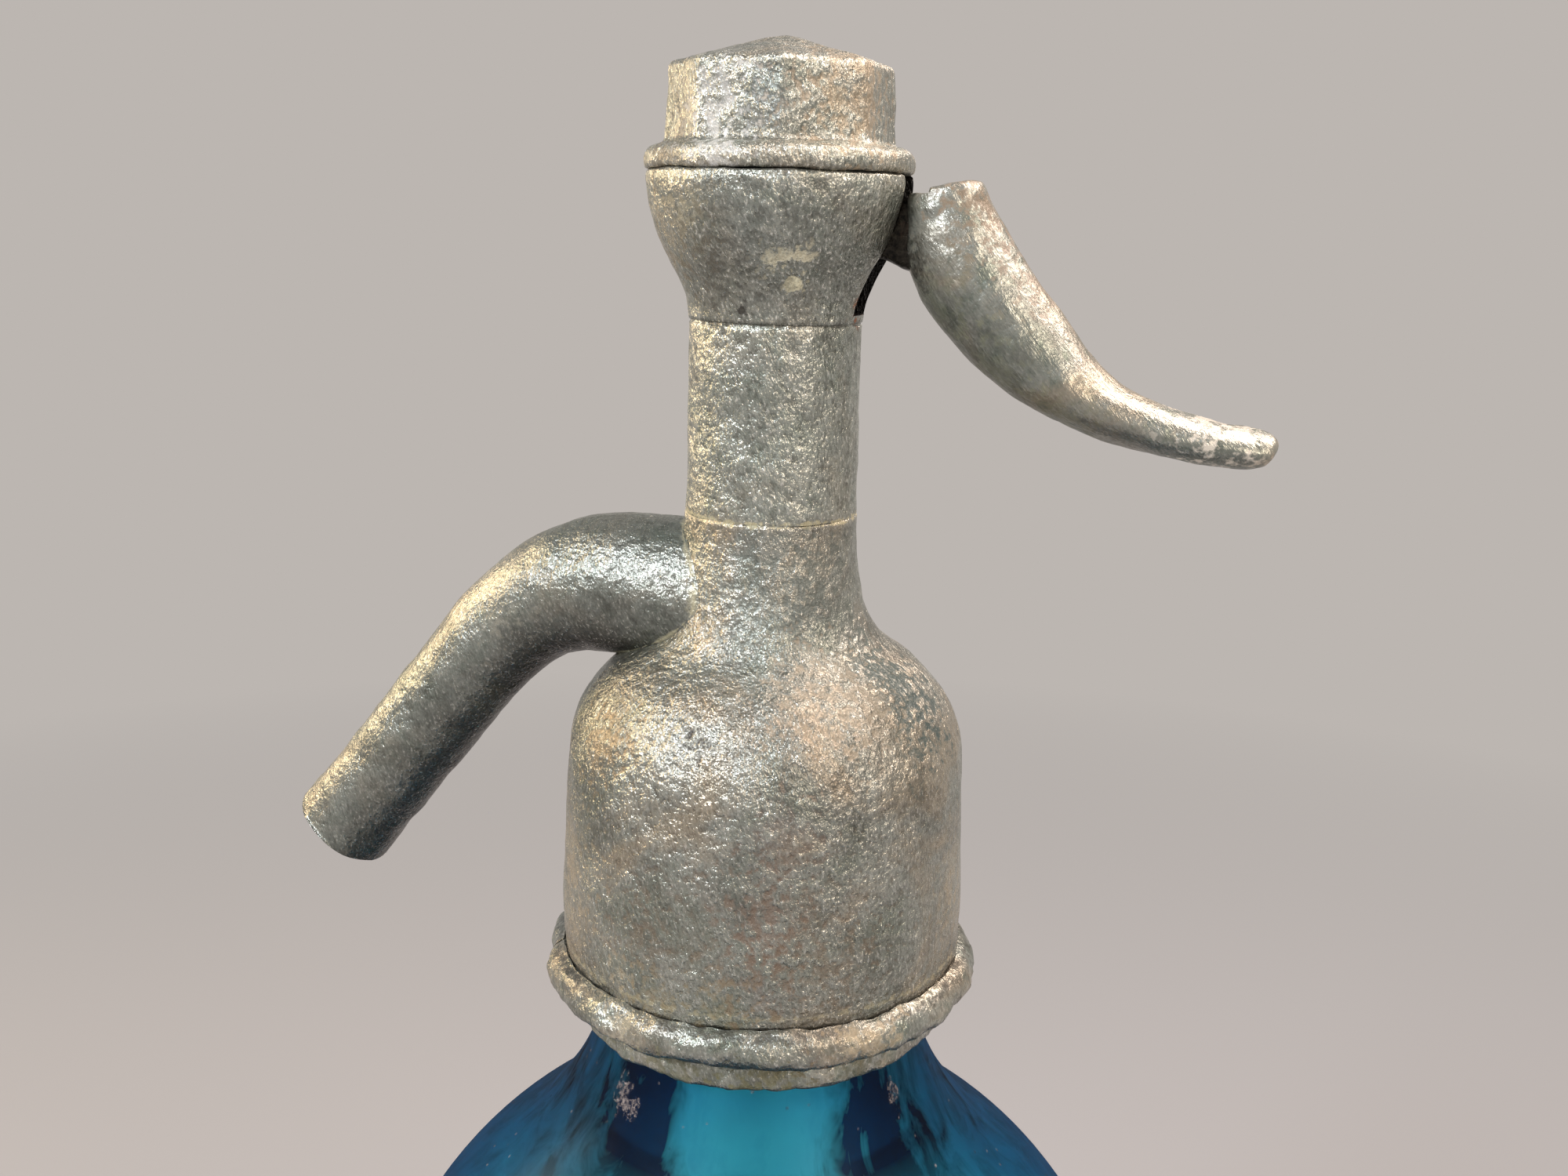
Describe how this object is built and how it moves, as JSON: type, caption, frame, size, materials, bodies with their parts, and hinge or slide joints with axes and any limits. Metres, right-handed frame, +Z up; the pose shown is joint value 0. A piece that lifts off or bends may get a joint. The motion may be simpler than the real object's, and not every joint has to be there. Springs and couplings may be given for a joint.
{
  "type": "soda siphon",
  "caption": "Round blue glass siphon bottle with a cast metal head, bent spout, screw cap and a horn-shaped thumb lever that lifts a sprung valve.",
  "frame": {"origin": "centre of the bottle's flat base", "axes": "+Z up along the bottle, +X towards the thumb lever, -X towards the spout"},
  "size_m": [0.1098, 0.097, 0.311],
  "materials": {
    "blue_glass": "thick polished blue glass with small scuffs",
    "clear_glass": "clear drawn tube",
    "pewter": "dull pitted grey pewter, tarnished",
    "worn_pewter": "pewter worn smoother and warmer by handling",
    "brass": "turned, dulled",
    "spring_steel": "drawn wire",
    "lever_metal": "dark, rusted at the edges",
    "rubber": "matt aged rubber",
    "leather": "greased leather"
  },
  "bodies": {
    "siphon": {"glass_bottle": "blue_glass", "collar_half_front": "worn_pewter", "collar_half_back": "worn_pewter", "neck_gasket": "rubber", "head_gasket": "rubber", "tube_socket": "worn_pewter", "tube_sleeve": "rubber", "dip_tube": "clear_glass", "head_base": "pewter", "spout": "pewter", "valve_seat": "brass", "head_column": "pewter", "screw_cap": "pewter", "pivot_pin": "brass", "main_spring": "spring_steel"},
    "lever": {"lever_arm": "lever_metal", "lever_horn": "worn_pewter"},
    "valve": {"valve_rod": "brass", "valve_holder": "brass", "valve_rubber": "rubber", "upper_cup_washer": "leather", "piston_spacer": "brass", "lower_cup_washer": "leather", "piston_nut": "brass"}
  },
  "joints": [
    {"name": "lever_press", "type": "hinge", "parent": "siphon", "child": "lever", "pos_m": [0.0075, 0, 0.29126], "axis": [0, 1, 0], "range_deg": [0, 14], "stiffness_Nm_per_rad": 0.8, "springref_deg": -17.19},
    {"name": "valve_lift", "type": "slide", "parent": "siphon", "child": "valve", "axis": [0, 0, 1], "range_m": [0, 0.0019], "deforming": ["main_spring"]}
  ],
  "couplings": [
    {"joint": "valve_lift", "follows": "lever_press", "m_per_rad": 0.0075}
  ]
}
